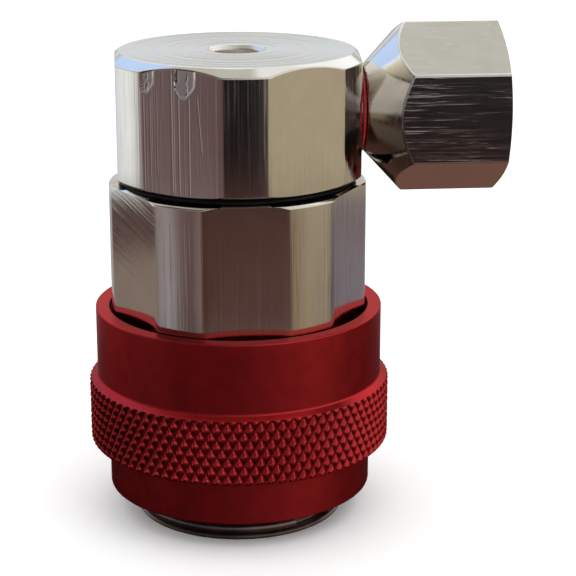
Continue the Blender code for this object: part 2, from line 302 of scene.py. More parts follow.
def carve(obj, cutter):
    """Takes the cutter's volume out of the piece for good."""
    mod = obj.modifiers.new("carve", "BOOLEAN")
    mod.operation = "DIFFERENCE"
    mod.solver = "EXACT"
    mod.object = cutter
    evaluated = obj.evaluated_get(bpy.context.evaluated_depsgraph_get())
    mesh = bpy.data.meshes.new_from_object(evaluated)
    obj.modifiers.clear()
    obj.data = mesh
    bpy.data.objects.remove(cutter)


def swept(name, centres, across, wire_r, sides, axis):
    """A round wire along centres; across gives, for each centre, the two directions of its section."""
    bm = bmesh.new()
    rings = []
    for centre, (side, up) in zip(centres, across):
        ring = []
        for k in range(sides):
            a = 2 * math.pi * k / sides
            point = centre + wire_r * (math.cos(a) * side + math.sin(a) * up)
            ring.append(bm.verts.new(axis @ (point * MM)))
        rings.append(ring)
    for first, second in zip(rings, rings[1:]):
        for k in range(sides):
            n = (k + 1) % sides
            bm.faces.new((first[k], first[n], second[n], second[k]))
    bm.faces.new(rings[0])
    bm.faces.new(rings[-1])
    mesh = bpy.data.meshes.new(name)
    bm.to_mesh(mesh)
    bm.free()
    return finished(name, mesh)


# ---------------------------------------------------------------- materials


class Nodes:
    """A node tree, with short calls for the nodes used here."""

    def __init__(self, tree):
        self.tree = tree

    def node(self, kind, **settings):
        made = self.tree.nodes.new(kind)
        for key, value in settings.items():
            setattr(made, key, value)
        return made

    def link(self, source, target):
        self.tree.links.new(source, target)

    def math(self, operation, first, second=0.0):
        made = self.node("ShaderNodeMath", operation=operation)
        for socket, value in zip(made.inputs, (first, second)):
            if isinstance(value, bpy.types.NodeSocket):
                self.link(value, socket)
            else:
                socket.default_value = value
        return made.outputs[0]

    def spread(self, source, low, high, to_low=0.0, to_high=1.0, **settings):
        """Turns low to high into to_low to to_high, and stays level beyond both ends."""
        made = self.node("ShaderNodeMapRange", **settings)
        self.link(source, made.inputs["Value"])
        made.inputs["From Min"].default_value = low
        made.inputs["From Max"].default_value = high
        made.inputs["To Min"].default_value = to_low
        made.inputs["To Max"].default_value = to_high
        return made.outputs[0]

    def ramp(self, factor, stops):
        """A colour ramp; a stop is (position, grey) or (position, (r, g, b)), in rising order."""
        made = self.node("ShaderNodeValToRGB")
        elements = made.color_ramp.elements
        elements.remove(elements[1])
        for k, (position, colour) in enumerate(stops):
            element = elements[0] if k == 0 else elements.new(position)
            element.position = position
            element.color = (*(colour if isinstance(colour, tuple) else (colour, colour, colour)), 1)
        self.link(factor, made.inputs[0])
        return made.outputs["Color"]


class Paint(Nodes):
    """A material, and short calls for what its surface is made of."""

    def __init__(self, name):
        self.mat = bpy.data.materials.new(name)
        self.mat.use_nodes = True
        super().__init__(self.mat.node_tree)
        self.shader = self.tree.nodes["Principled BSDF"]
        self.place = self.node("ShaderNodeTexCoord").outputs["Object"]

    def set(self, **values):
        for key, value in values.items():
            self.shader.inputs[key.replace("_", " ")].default_value = value

    def moved(self, scale, centre=(0, 0, 0)):
        """Coordinates about a centre, multiplied by scale on each axis."""
        shifted = self.node("ShaderNodeVectorMath", operation="SUBTRACT")
        self.link(self.place, shifted.inputs[0])
        shifted.inputs[1].default_value = centre
        scaled = self.node("ShaderNodeVectorMath", operation="MULTIPLY")
        self.link(shifted.outputs[0], scaled.inputs[0])
        scaled.inputs[1].default_value = scale
        return scaled.outputs[0]

    def noise(self, vector, detail=2.0, roughness=0.5):
        """A noise whose features are about one unit of the coordinates across."""
        made = self.node("ShaderNodeTexNoise")
        made.inputs["Scale"].default_value = 1.0
        made.inputs["Detail"].default_value = detail
        made.inputs["Roughness"].default_value = roughness
        self.link(vector, made.inputs["Vector"])
        return made.outputs["Fac"]

    def grain(self, scale, detail=2.0, roughness=0.5):
        """A noise that is the same in every direction, with so many features to a metre."""
        return self.noise(self.moved((scale, scale, scale)), detail, roughness)

    def rings(self, centre, pitch):
        """Coordinates that change only with the distance from an upright axis through centre."""
        flat = self.moved((1, 1, 0), centre)
        length = self.node("ShaderNodeVectorMath", operation="LENGTH")
        self.link(flat, length.inputs[0])
        scaled = self.math("MULTIPLY", length.outputs["Value"], 1 / pitch)
        out = self.node("ShaderNodeCombineXYZ")
        self.link(scaled, out.inputs[0])
        return out.outputs[0]

    def turn(self, degrees, heading):
        """Turns the coordinates about the level line that points to heading."""
        made = self.node("ShaderNodeVectorRotate", rotation_type="AXIS_ANGLE")
        made.inputs["Axis"].default_value = (math.cos(heading), math.sin(heading), 0)
        made.inputs["Angle"].default_value = math.radians(degrees)
        self.link(self.place, made.inputs["Vector"])
        self.place = made.outputs[0]

    def painted_shade_below(self, colour, low, high):
        """The colour with painted shade: darker below the height high and darkest at the height low, in
        metres.
        """
        parts = self.node("ShaderNodeSeparateXYZ")
        self.link(self.place, parts.inputs[0])
        made = self.node("ShaderNodeVectorMath", operation="SCALE")
        self.link(colour, made.inputs[0])
        self.link(self.spread(parts.outputs["Z"], low, high, DARKEST_PAINTED_SHADE), made.inputs["Scale"])
        return made.outputs[0]

    def colour(self, source):
        self.link(source, self.shader.inputs["Base Color"])

    def rough(self, source, low, high):
        """Roughness between low and high, following a 0 to 1 source."""
        self.link(self.spread(source, 0.3, 0.7, low, high), self.shader.inputs["Roughness"])

    def bump(self, *layers):
        """Stacks bumps, each (height, depth in metres)."""
        normal = None
        for height, depth in layers:
            made = self.node("ShaderNodeBump")
            made.inputs["Strength"].default_value = 1.0
            made.inputs["Distance"].default_value = depth
            self.link(height, made.inputs["Height"])
            if normal:
                self.link(normal, made.inputs["Normal"])
            normal = made.outputs[0]
        self.link(normal, self.shader.inputs["Normal"])


def nickel(name, brushed, streaked, depths, rough, slant=0.0, heading=0.0, painted_shade_heights=None):
    """Bright nickel plate over machining marks.

    brushed and streaked are the scales of the fine and the coarse marks along each axis, per metre, and
    depths is how deep each goes, in metres. rough is the least and the most roughness. slant turns the
    marks by so many degrees about the level line that points to heading. The last argument is a pair of
    heights for painted shade: the plate is painted bright above the second and painted darker down to
    the first.
    """
    brush_depth, streak_depth = depths
    paint = Paint(name)
    paint.set(Metallic=1.0)
    if slant:
        paint.turn(slant, heading)
    marks = paint.noise(paint.moved(brushed), 3.0, 0.6)
    streaks = paint.noise(paint.moved(streaked), 2.0, 0.55)
    sharp = paint.ramp(streaks, [(0.56, 0.0), (0.64, 1.0)])
    where = paint.ramp(paint.grain(110, 1.0), [(0.35, 0.3), (0.6, 1.0)])
    cuts = paint.math("MULTIPLY", sharp, where)
    stains = paint.grain(260, 4.0, 0.6)
    speckle = paint.grain(3600, 2.0)
    plate = paint.ramp(stains, [(0.35, NICKEL_STAINED), (0.6, NICKEL)])
    # painted shade: the plate's colour is painted darker lower down when the heights are given
    paint.colour(paint.painted_shade_below(plate, *painted_shade_heights) if painted_shade_heights else plate)
    fine = paint.math("MULTIPLY", marks, 0.8)
    paint.rough(paint.math("ADD", fine, paint.math("MULTIPLY", cuts, 0.25)), *rough)
    waves = paint.noise(paint.moved((150, 150, 110)), 1.0)
    paint.bump((waves, 1.6e-5), (cuts, -streak_depth), (marks, brush_depth), (speckle, 0.6e-6))
    return paint.mat


def turned_nickel(name, pitch, depth, low, high):
    """Nickel plate over the rings that a facing tool leaves round the coupling axis."""
    paint = Paint(name)
    paint.set(Metallic=1.0)
    rings = paint.noise(paint.rings((AXIS_X, 0, 0), pitch), 2.0, 0.5)
    stains = paint.grain(220, 4.0, 0.6)
    speckle = paint.grain(2600, 2.0)
    paint.colour(paint.ramp(stains, [(0.35, NICKEL_STAINED), (0.6, NICKEL)]))
    paint.rough(stains, low, high)
    paint.bump((rings, depth), (speckle, 1e-6))
    return paint.mat


def anodised(name, colour, dark, low, high, grain):
    """Satin anodised aluminium: dyed metal under a thin clear film, with a fine etched grain."""
    paint = Paint(name)
    paint.set(Metallic=1.0, Coat_Weight=0.28, Coat_Roughness=0.3, Specular_Tint=(0.55, 0.2, 0.2, 1))
    mottle = paint.grain(500, 5.0, 0.65)
    fine = paint.grain(9000, 2.0)
    lines = paint.noise(paint.moved((300, 300, 9000)), 2.0)
    paint.colour(paint.ramp(mottle, [(0.3, dark), (0.7, colour)]))
    paint.rough(mottle, low, high)
    paint.bump((lines, grain * 0.6), (fine, grain))
    return paint.mat


def plain_metal(name, colour, low, high, depth):
    """A turned or drawn metal with faint marks round it."""
    paint = Paint(name)
    paint.set(Metallic=1.0)
    marks = paint.noise(paint.moved((400, 400, 7000)), 3.0, 0.6)
    stains = paint.grain(350, 4.0, 0.6)
    darker = tuple(0.72 * c for c in colour)
    paint.colour(paint.ramp(stains, [(0.3, darker), (0.65, colour)]))
    paint.rough(stains, low, high)
    paint.bump((marks, depth))
    return paint.mat


def rubber(name):
    paint = Paint(name)
    paint.set(Specular_IOR_Level=0.15)
    dust = paint.grain(900, 5.0, 0.7)
    grain = paint.grain(8000, 2.0)
    paint.colour(paint.ramp(dust, [(0.4, (0.003, 0.003, 0.003)), (0.75, (0.009, 0.008, 0.008))]))
    paint.rough(dust, 0.5, 0.7)
    paint.bump((grain, 3e-6))
    return paint.mat


def plastic(name, colour, low, high):
    paint = Paint(name)
    mottle = paint.grain(700, 4.0, 0.6)
    grain = paint.grain(6000, 2.0)
    darker = tuple(0.82 * c for c in colour)
    paint.colour(paint.ramp(mottle, [(0.3, darker), (0.7, colour)]))
    paint.rough(mottle, low, high)
    paint.bump((grain, 2e-6))
    return paint.mat


def dress(obj, *materials):
    """Gives a piece or a CAD node its materials, in the order of its finishes."""
    finishes = [0] * len(obj.data.polygons)
    obj.data.polygons.foreach_get("material_index", finishes)
    obj.data.materials.clear()  # this also sets every face's finish back to 0
    for mat in materials:
        obj.data.materials.append(mat)
    obj.data.polygons.foreach_set("material_index", finishes)


# ---------------------------------------------------------------- camera, floor and light

CAMERA_FROM_AXIS = 0.1997
CAMERA_HEIGHT = 0.0856
CAMERA_SIDE = math.radians(3.64)  # how far round to the left of straight on
CAMERA_YAW = math.radians(1.66)
CAMERA_PITCH = math.radians(16.48)
CAMERA_LENS = 111.3
FLOOR_SIDE = 3.0
STUDIO_STRENGTH = 1.3
SOFTBOX_PLACE = (0.25, -0.35, 0.7)
SOFTBOX_SIZE = 0.5
SOFTBOX_ENERGY = 0.8


def make_camera():
    data = bpy.data.cameras.new("camera")
    data.lens = CAMERA_LENS
    data.sensor_width = 36
    data.clip_start = 0.001
    camera = bpy.data.objects.new("camera", data)
    camera.location = (
        AXIS_X - CAMERA_FROM_AXIS * math.sin(CAMERA_SIDE),
        -CAMERA_FROM_AXIS * math.cos(CAMERA_SIDE),
        CAMERA_HEIGHT,
    )
    camera.rotation_euler = (math.pi / 2 - CAMERA_PITCH, 0, -(CAMERA_SIDE + CAMERA_YAW))
    bpy.context.scene.collection.objects.link(camera)
    bpy.context.scene.camera = camera
    bpy.context.scene.view_settings.view_transform = "Standard"


def make_floor():
    mesh = bpy.data.meshes.new("floor")
    corners = [(x * FLOOR_SIDE, y * FLOOR_SIDE, 0) for x, y in ((-1, -1), (1, -1), (1, 1), (-1, 1))]
    mesh.from_pydata(corners, [], [(0, 1, 2, 3)])
    paint = Paint("floor_paper")
    paint.set(Base_Color=(0.95, 0.95, 0.95, 1), Roughness=0.9)
    mesh.materials.append(paint.mat)
    floor = bpy.data.objects.new("floor", mesh)
    floor.visible_glossy = False
    bpy.context.scene.collection.objects.link(floor)


def light_for(red, green, blue):
    """The light that bright nickel has to mirror to look this colour, given as 0 to 255 on screen."""
    return tuple((c / 255) ** 2.2 / base for c, base in zip((red, green, blue), NICKEL))


# What stands round the coupler, from the floor up. Each belt has the height in degrees where it starts,
# how softly it starts, and colours by compass heading: 0 is +X, 90 is +Y, behind the coupler.
BELTS = [
    ("floor", -90, 0, [
        (-180, 40, 32, 30), (-100, 36, 28, 26), (-50, 84, 64, 58), (40, 105, 76, 66),
        (80, 101, 72, 62), (150, 60, 48, 44),
    ]),
    ("table edge", -34, 6, [
        (-180, 30, 24, 23), (-150, 44, 36, 34), (-125, 76, 66, 63), (-90, 104, 92, 88),
        (-35, 122, 108, 98), (0, 84, 70, 62), (40, 80, 64, 56), (90, 46, 34, 30),
        (120, 24, 18, 17), (150, 24, 18, 17),
    ]),
    ("low wall", -18.6, 1.0, [
        (-180, 122, 108, 101), (-172, 122, 108, 101), (-168, 130, 121, 121), (-158, 141, 131, 131),
        (-152, 130, 120, 119), (-146, 104, 87, 84), (-139, 90, 71, 68), (-134, 94, 76, 74),
        (-127, 116, 101, 95), (-121, 100, 78, 68), (-108, 72, 48, 40), (-89, 73, 49, 42),
        (-84, 85, 61, 56), (-58, 84, 62, 56), (-49, 96, 76, 66), (-45, 119, 99, 79),
        (-37, 133, 116, 93), (-27, 144, 129, 107), (-16, 135, 121, 103), (-7, 145, 131, 109),
        (-1, 96, 88, 86), (10, 96, 86, 84), (34, 100, 89, 88), (40, 122, 114, 121),
        (70, 130, 124, 128), (110, 150, 140, 135), (135, 126, 112, 102), (150, 122, 107, 97),
    ]),
    ("upper wall", -15.2, 1.2, [
        (-180, 120, 106, 100), (-172, 120, 106, 100), (-158, 138, 128, 128), (-146, 104, 87, 84),
        (-136, 90, 71, 68), (-127, 114, 99, 92), (-121, 100, 78, 68), (-108, 74, 51, 45),
        (-88, 76, 53, 47), (-58, 82, 60, 54), (-45, 119, 99, 79), (-27, 144, 129, 107),
        (-7, 145, 131, 109), (-1, 100, 90, 88), (36, 108, 96, 95), (70, 130, 124, 128),
        (110, 150, 140, 135), (135, 84, 66, 62), (150, 76, 58, 54), (168, 88, 72, 68),
    ]),
    ("horizon", -13.35, 0.5, [
        (-180, 128, 120, 118), (-172, 158, 150, 146), (-163, 128, 116, 114), (-156, 106, 92, 91),
        (-150, 104, 88, 87), (-146, 93, 73, 71), (-120, 88, 68, 66), (-109, 60, 50, 48),
        (-106, 30, 27, 28), (-92, 24, 21, 22), (-84, 30, 26, 27), (-76, 36, 32, 33),
        (-70, 50, 46, 46), (-64, 92, 82, 72), (-56, 158, 144, 119), (-24, 160, 146, 121),
        (10, 156, 141, 117), (35, 150, 138, 116), (70, 170, 160, 142), (100, 190, 190, 190),
        (122, 170, 178, 192), (134, 214, 214, 212), (156, 225, 225, 220), (168, 196, 193, 187),
    ]),
    ("above the horizon", -6.5, 3, [
        (-180, 150, 146, 146), (-147, 118, 110, 112), (-115, 110, 104, 104), (-95, 150, 146, 142),
        (-60, 210, 206, 198), (-20, 205, 198, 182), (20, 180, 170, 150), (60, 172, 170, 164),
        (90, 164, 162, 156), (120, 166, 164, 158), (150, 186, 182, 174),
    ]),
    ("far window", 7, 2, [
        (-180, 120, 114, 114), (-147, 120, 112, 112), (-115, 150, 146, 142), (-90, 196, 192, 186),
        (-60, 212, 208, 200), (-20, 212, 205, 192), (20, 190, 180, 160), (60, 200, 201, 198),
        (90, 203, 204, 203), (115, 200, 203, 206), (140, 188, 196, 206), (160, 196, 186, 160),
    ]),
    ("window sill", 12.6, 1.4, [
        (-180, 120, 114, 114), (-147, 120, 112, 112), (-90, 196, 192, 186), (-60, 212, 208, 200),
        (-20, 212, 205, 192), (20, 190, 180, 160), (60, 170, 158, 135), (90, 164, 149, 122),
        (108, 180, 178, 172), (118, 186, 208, 240), (142, 186, 208, 240), (150, 198, 190, 166),
    ]),
    ("window", 17.8, 1.4, [
        (-180, 90, 80, 72), (-150, 60, 50, 46), (-115, 66, 56, 52), (-92, 120, 112, 106),
        (-70, 186, 182, 176), (-30, 206, 202, 194), (5, 216, 212, 204), (20, 240, 236, 228),
        (60, 250, 250, 248), (95, 250, 250, 246), (108, 214, 216, 220), (112, 186, 209, 242),
        (145, 186, 209, 242), (149, 235, 236, 238), (156, 200, 190, 162),
    ]),
    ("above the window", 57, 3, [
        (-180, 150, 140, 128), (-120, 130, 120, 112), (-80, 176, 172, 164), (-20, 196, 192, 184),
        (25, 216, 212, 204), (45, 250, 248, 242), (54, 182, 180, 169), (68, 182, 180, 169),
        (78, 250, 248, 242), (96, 250, 248, 242), (110, 184, 180, 168), (150, 184, 178, 164),
    ]),
    ("ceiling", 79, 3, [
        (-180, 182, 179, 169), (180, 182, 179, 169),
    ]),
]


class Sky(Nodes):
    """The surroundings that the metal mirrors, made of belts one above another."""

    def __init__(self):
        world = bpy.data.worlds.new("surroundings")
        world.use_nodes = True
        bpy.context.scene.world = world
        super().__init__(world.node_tree)
        self.tree.nodes.clear()
        parts = self.node("ShaderNodeSeparateXYZ")
        self.link(self.node("ShaderNodeTexCoord").outputs["Generated"], parts.inputs[0])
        x, y, z = parts.outputs
        turn = self.math("ARCTAN2", y, x)
        self.heading = self.math("ADD", self.math("DIVIDE", turn, 2 * math.pi), 0.5)
        self.height = self.math("MULTIPLY", self.math("ARCSINE", z), 180 / math.pi)

    def belt(self, stops):
        """Colours by heading, as (degrees, red, green, blue), joined round the back."""
        if stops[-1][0] < 180:
            stops = [*stops, (180, *stops[0][1:])]
        return self.ramp(self.heading, [((stop[0] + 180) / 360, light_for(*stop[1:])) for stop in stops])

    def stacked(self, low, high, start, softness):
        """The high colour above the start height in degrees, and the low colour below it."""
        bottom = start - softness / 2
        top = start + softness / 2
        mix = self.node("ShaderNodeMix", data_type="RGBA")
        rise = self.spread(self.height, bottom, top, interpolation_type="SMOOTHSTEP")
        self.link(rise, mix.inputs["Factor"])
        self.link(low, mix.inputs["A"])
        self.link(high, mix.inputs["B"])
        return mix.outputs["Result"]

    def shine(self, colour):
        """Mirrored rays meet the colour, and all others a plain soft white studio."""
        mirrored = self.node("ShaderNodeBackground")
        self.link(colour, mirrored.inputs["Color"])
        studio = self.node("ShaderNodeBackground")
        studio.inputs["Color"].default_value = (1, 1, 1, 1)
        studio.inputs["Strength"].default_value = STUDIO_STRENGTH
        pick = self.node("ShaderNodeMixShader")
        self.link(self.node("ShaderNodeLightPath").outputs["Is Glossy Ray"], pick.inputs[0])
        self.link(studio.outputs[0], pick.inputs[1])
        self.link(mirrored.outputs[0], pick.inputs[2])
        self.link(pick.outputs[0], self.node("ShaderNodeOutputWorld").inputs[0])


def make_surroundings():
    sky = Sky()
    colour = sky.belt(BELTS[0][3])
    for _, start, softness, stops in BELTS[1:]:
        colour = sky.stacked(colour, sky.belt(stops), start, softness)
    sky.shine(colour)


def make_light():
    data = bpy.data.lights.new("softbox", "AREA")
    data.shape = "DISK"
    data.size = SOFTBOX_SIZE
    data.energy = SOFTBOX_ENERGY
    light = bpy.data.objects.new("softbox", data)
    light.visible_glossy = False  # the metal mirrors the surroundings only
    light.location = SOFTBOX_PLACE
    light.rotation_euler = (Vector((0, 0, 0.02)) - light.location).to_track_quat("-Z", "Y").to_euler()
    bpy.context.scene.collection.objects.link(light)


# ---------------------------------------------------------------- pieces on the coupling axis


def make_sleeve(red, red_knurl, red_inside):
    """The sleeve with its diamond knurl, which is cut into the turned band."""
    sub = 5  # mesh cells along each half of a diamond
    steps = KNURL_AROUND * 2 * sub
    smooth, knurled, inside = range(3)
    outline = eased(
        [
            (LAND_R, LIP_Z, inside),
            (LIP_R, LIP_Z, inside),
            (LIP_R, SKIRT_Z, smooth),
            (SKIRT_R, SKIRT_Z, smooth),
            (SKIRT_R, KNURL_Z0, smooth),
            (KNURL_R - KNURL_CHAMFER, KNURL_Z0, knurled),
            (KNURL_R, KNURL_Z0 + KNURL_CHAMFER, knurled),
            (KNURL_R, KNURL_Z1 - 0.1, knurled),
            (KNURL_R - 0.15, KNURL_Z1 + 0.05, smooth),
            (SLEEVE_R, KNURL_Z1 + 0.5, smooth),
            (SLEEVE_R, SLEEVE_TOP, smooth),
            (SLEEVE_BORE_R, SLEEVE_TOP, inside),
            (SLEEVE_BORE_R, LAND_Z1, inside),
            (LAND_R, LAND_Z1, inside),
            (LAND_R, LAND_Z0, inside),
            (RECESS_R, RECESS_Z, inside),
            (RECESS_R, LIP_Z + LIP_T, inside),
            (LAND_R, LIP_Z + LIP_T, inside),
        ],
        radius=0.14,
    )
    cell = KNURL_PITCH_Z / 2 / sub
    band = [p for p in outline if p[2] == knurled]
    low = min(p[1] for p in band)
    high = max(p[1] for p in band)
    first = outline.index(band[0])
    last = outline.index(band[-1])
    heights = np.arange(math.floor(low / cell) + 1, math.ceil(high / cell)) * cell
    radii = np.interp(heights, [p[1] for p in band], [p[0] for p in band])
    rows = [(float(r), float(z), knurled) for r, z in zip(radii, heights)]
    outline = outline[: first + 1] + rows + outline[last:]

    def knurl(radius, angle, height):
        along = angle / (2 * math.pi) * KNURL_AROUND
        up = height / KNURL_PITCH_Z
        one = np.abs((along + up + 0.5) % 1 - 0.5)
        two = np.abs((along - up + 0.5) % 1 - 0.5)
        rise = np.minimum(one * KNURL_LEAN, two) / 0.5
        crest = np.minimum(rise / KNURL_CREST, 1.0)
        cut = KNURL_R - KNURL_DEPTH * (1 - crest)
        inside_band = (height > low) & (height < high) & (radius > SLEEVE_R)
        return np.where(inside_band, np.minimum(radius, cut), radius)

    sleeve = turned("sleeve", outline, steps, COUPLING_AXIS, knurl)
    dress(sleeve, red, red_knurl, red_inside)
    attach(sleeve, "sleeve")
    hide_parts("locking_sleeve")


def make_body(flats, turned_face, bore, slanted, blackened):
    """Nose, ring groove, ball pockets and lower hexagon."""
    groove_r = RING_R - RING_WIRE_R - 0.1
    side, face, inner, slanting, nose = range(5)
    outline = eased(
        [
            (BORE_R + BORE_CHAMFER, 0, nose),
            (NOSE_LIP_R - 0.22, 0, nose),
            (NOSE_LIP_R, 0.28, nose),
            (NOSE_LIP_R, 0.45, nose),
            (NOSE_LIP_R - 0.2, RING_Z - RING_WIRE_R - 0.05, nose),
            (groove_r, RING_Z - RING_WIRE_R - 0.05, nose),
            (groove_r, RING_Z + RING_WIRE_R + 0.05, nose),
            (NOSE_R, RING_Z + RING_WIRE_R + 0.05, nose),
            (NOSE_R, LIP_Z + 2, face),
            (NOSE_R, SHOULDER_Z, face),
            (BODY_R, SHOULDER_Z, side),
            (BODY_R, BODY_TOP - BODY_CHAMFER, face),
            (BODY_R - BODY_CHAMFER, BODY_TOP, face),
            (INNER_R + 0.6, BODY_TOP, inner),
            (INNER_R, BODY_TOP - 0.6, inner),
            (INNER_R, LEDGE_Z, inner),
            (BORE_R, LEDGE_Z, inner),
            (BORE_R, BORE_CHAMFER, inner),
        ]
    )

    def step_for(start, end):
        on_rim = min(start[0], end[0]) > BODY_FLATS / 2 - 0.3 and min(start[1], end[1]) > BODY_TOP - 0.6
        return 0.06 if on_rim else None

    def hexagon(radius, angle, height):
        cut = hexagonal(radius, angle, BODY_FLATS, 30)
        return np.where(height > SHOULDER_Z - 1, cut, radius)

    body = turned("body", refined(outline, step_for), 720, COUPLING_AXIS, hexagon)
    dress(body, flats, turned_face, bore, slanted, blackened)
    for k in range(BALL_COUNT):
        angle = math.radians(360 / BALL_COUNT * (k + 0.5))
        mouth = BALL_R - 0.22
        hole = BALL_R + 0.12
        pocket = [
            (mouth, POCKET_START_R, 0),
            (mouth, POCKET_MOUTH_R, 0),
            (hole, POCKET_FULL_R, 0),
            (hole, POCKET_END_R, 0),
        ]
        radial = Matrix.Rotation(angle, 4, "Z") @ Matrix.Rotation(math.pi / 2, 4, "Y")
        lie = COUPLING_AXIS @ Matrix.Translation((0, 0, BALL_Z * MM)) @ radial
        carve(body, turned(f"pocket_{k}", pocket, 48, lie, closed=False))
    finish_flat(body, BODY_FLATS, 30, side)
    finish_flat(body, BODY_FLATS, 30, slanting, only=SLANTED_FLAT)
    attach(body, "coupler")
    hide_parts("coupler_body")


def finish_flat(obj, across, first_flat, finish, only=None):
    """Gives the faces on an upright hexagon's flats, or on one of them, their own finish."""
    for face in obj.data.polygons:
        if abs(face.normal.z) > 0.3 or face.center.z < SHOULDER_Z * MM:
            continue
        heading = math.degrees(math.atan2(face.normal.y, face.normal.x))
        nearest = first_flat + 60 * round((heading - first_flat) / 60)
        turn = math.radians(nearest)
        reach = ((face.center.x - AXIS_X) * math.cos(turn) + face.center.y * math.sin(turn)) / MM
        chosen = only is None or abs((nearest - only + 180) % 360 - 180) < 1
        if chosen and reach > across / 2 - 0.4 and abs(heading - nearest) < 12:
            face.material_index = finish


# Where a vice bit the head's left flat, in millimetres across the flat and down from its top:
# left and right edge, place of the lower tip, length, depth at the top
BITES = [(-5.35, -3.05, -4.1, 2.9, 0.13), (-0.70, 1.95, 0.45, 3.3, 0.15)]
# Dents in them: across from, to, down from, to, pitch, slant, depth
DENTS = [(-0.72, -0.18, 0.05, 1.5, 0.37, 0.0, 0.05), (-5.2, -4.3, 1.5, 2.7, 0.36, 0.5, 0.05)]
# The drag marks below them: across at the top, across at the bottom, from, to, half width, depth
DRAGS = [
    (-0.19, -0.19, 2.7, 14, 0.10, 0.030),
    (1.06, 1.05, 2.7, 14, 0.10, 0.030),
    (-1.05, -1.03, 0.1, 14, 0.14, 0.026),
    (-0.78, -0.80, 0.1, 14, 0.10, 0.018),
    (2.04, 2.59, 2.4, 9.3, 0.09, 0.022),
    (-3.67, -3.66, 2.7, 14, 0.10, 0.016),
    (-2.84, -2.86, 2.2, 12, 0.08, 0.014),
    (-4.45, -4.45, 2.6, 14, 0.12, 0.020),
    (-4.1, -4.12, 3.6, 14, 0.07, 0.012),
    (-3.2, -3.2, 4.6, 14, 0.06, 0.010),
    (-2.2, -2.2, 0.4, 6.0, 0.06, 0.008),
    (0.45, 0.45, 3.4, 14, 0.06, 0.010),
    (3.2, 3.2, 1.0, 11, 0.05, 0.008),
    (4.1, 4.1, 2.0, 14, 0.05, 0.006),
]
MARKED_FLAT = -120.0
# Lines down the head's front corner: angle round the axis, from, to, half width, depth
CORNER_LINES = [
    (-88.2, 5.5, 14, 0.08, 0.016),
    (-92.6, 2.0, 14, 0.06, 0.006),
    (-94.0, 0.5, 12, 0.05, 0.006),
    (-85.6, 0.5, 14, 0.06, 0.006),
    (-84.2, 1.0, 13, 0.05, 0.008),
]


def step_up(value, start, width):
    """0 below start, rising smoothly to 1 over width."""
    t = np.clip((value - start) / width, 0, 1)
    return t * t * (3 - 2 * t)


def bite_depth(across, down):
    """How deep the vice's jaw went: slanting facets, split by a ridge, that end in a lower tip."""
    total = np.zeros_like(across)
    for left, right, tip, length, depth in BITES:
        v = np.clip(down / length, 0, 1.2)
        uneven = 0.05 * np.sin(down * 3.7 + left) + 0.03 * np.sin(down * 8.1)
        low = left + (tip - 0.35 - left) * step_up(v, 0.62, 0.4) + uneven
        high = right + (tip + 0.35 - right) * step_up(v, 0.45, 0.6) + 0.5 * uneven
        inside = step_up(across, low, 0.2) * step_up(-across, -high, 0.4) * step_up(-v, -1.0, 0.15)
        facet = depth * (1.0 - 0.8 * v)
        middle = (left + right) / 2 + 0.2 + uneven
        split = 0.05 * np.clip(1 - np.abs(across - middle) / 0.13, 0, 1) * step_up(v, 0.1, 0.2)
        total = np.maximum(total, inside * (facet + split))
    for left, right, top, bottom, pitch, slant, depth in DENTS:
        inside = step_up(across, left, 0.1) * step_up(-across, -right, 0.1)
        inside = inside * (down > top) * (down < bottom)
        total = total + inside * depth * (((down + slant * across) / pitch) % 1.0)
    return total


def line_depth(apart, down, start, stop, half_width, depth):
    """A scratch from start to stop, which dies away at both ends; apart is the distance from its middle."""
    groove = np.clip(1 - apart / half_width, 0, 1)
    ends = np.clip((down - start) / 0.8, 0, 1) * np.clip((stop - down) / 0.8, 0, 1)
    return depth * groove * ends


def drag_depth(across, down):
    """How deep the drag marks below the bites are."""
    total = np.zeros_like(across)
    for top, bottom, start, stop, half_width, depth in DRAGS:
        v = np.clip((down - start) / (stop - start), 0, 1)
        apart = np.abs(across - (top + (bottom - top) * v))
        total = np.maximum(total, line_depth(apart, down, start, stop, half_width, depth))
    return total


def corner_depth(angle, down):
    """How deep the lines down the front corner are."""
    total = np.zeros_like(angle)
    for heading, *line in CORNER_LINES:
        apart = HEAD_R * np.abs(angle - math.radians(heading) % (2 * math.pi))
        total = np.maximum(total, line_depth(apart, down, *line))
    return total


# Waves in the rings on the head's top: pitch, height, phase
FACING = [(0.62, 0.0030, 0.0), (1.05, 0.0040, 1.0), (1.9, 0.0040, 2.0)]


def facing_rings(radius):
    """Height of the rings that the facing cut left on the head's top, in millimetres."""
    inner = min(max((radius - CENTRE_HOLE_R - 0.5) / 0.3, 0), 1)
    outer = min(max((HEAD_R - 1.25 - radius) / 0.1, 0), 1)
    swing = 0.0
    for pitch, height, phase in FACING:
        swing += height * (math.sin(2 * math.pi * radius / pitch + phase) - 1)
    return inner * outer * swing


